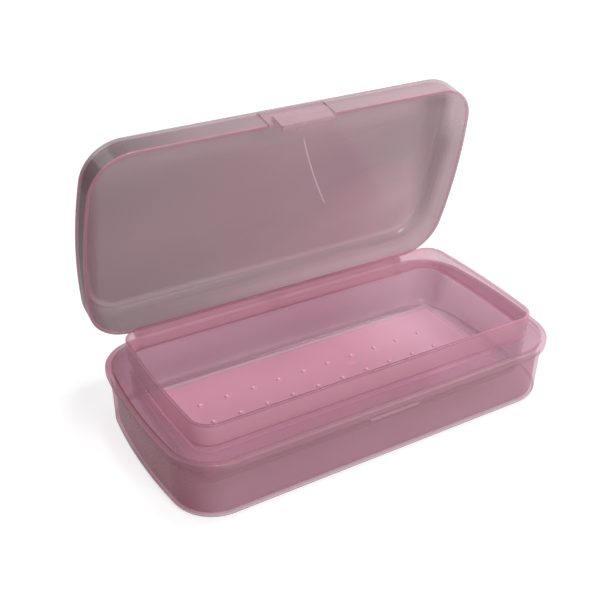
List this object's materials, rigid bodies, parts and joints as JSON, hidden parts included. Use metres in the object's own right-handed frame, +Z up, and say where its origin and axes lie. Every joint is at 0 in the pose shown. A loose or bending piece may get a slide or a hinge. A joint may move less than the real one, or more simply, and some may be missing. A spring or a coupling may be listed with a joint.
{
  "type": "bobbin box",
  "caption": "Slim translucent moulded box with bowed ends, a lift-out tray with a pip floor, a hinged lid and a snap latch; holds bobbins, pens or small tools.",
  "frame": {"origin": "middle of the tub's flat underside", "axes": "+Z up, +X along the length, +Y towards the hinge; the lid stands open as pictured at rest"},
  "size_m": [0.2048, 0.1204, 0.1367],
  "materials": {
    "tub_plastic": "translucent pink polypropylene, satin gloss",
    "tray_plastic": "translucent pink polypropylene, satin gloss",
    "lid_plastic": "translucent pink polypropylene, satin gloss"
  },
  "bodies": {
    "tub": {"base_tub": "tub_plastic"},
    "tray": {"lift_out_tray": "tray_plastic"},
    "lid": {"lid": "lid_plastic"},
    "latch": {"latch_tongue": "lid_plastic"}
  },
  "joints": [
    {"name": "lid_hinge", "type": "hinge", "parent": "tub", "child": "lid", "pos_m": [0, 0.0535, 0.0313], "axis": [1, 0, 0], "range_deg": [-32.5, 77.5]},
    {"name": "latch_flex", "type": "hinge", "parent": "lid", "child": "latch", "pos_m": [0, 0.04132, 0.13475], "axis": [-1, 0, 0], "range_deg": [0, 7], "stiffness_Nm_per_rad": 0.4},
    {"name": "tray_lift", "type": "slide", "parent": "tub", "child": "tray", "axis": [0, 0, 1], "range_m": [0, 0.0033]}
  ]
}
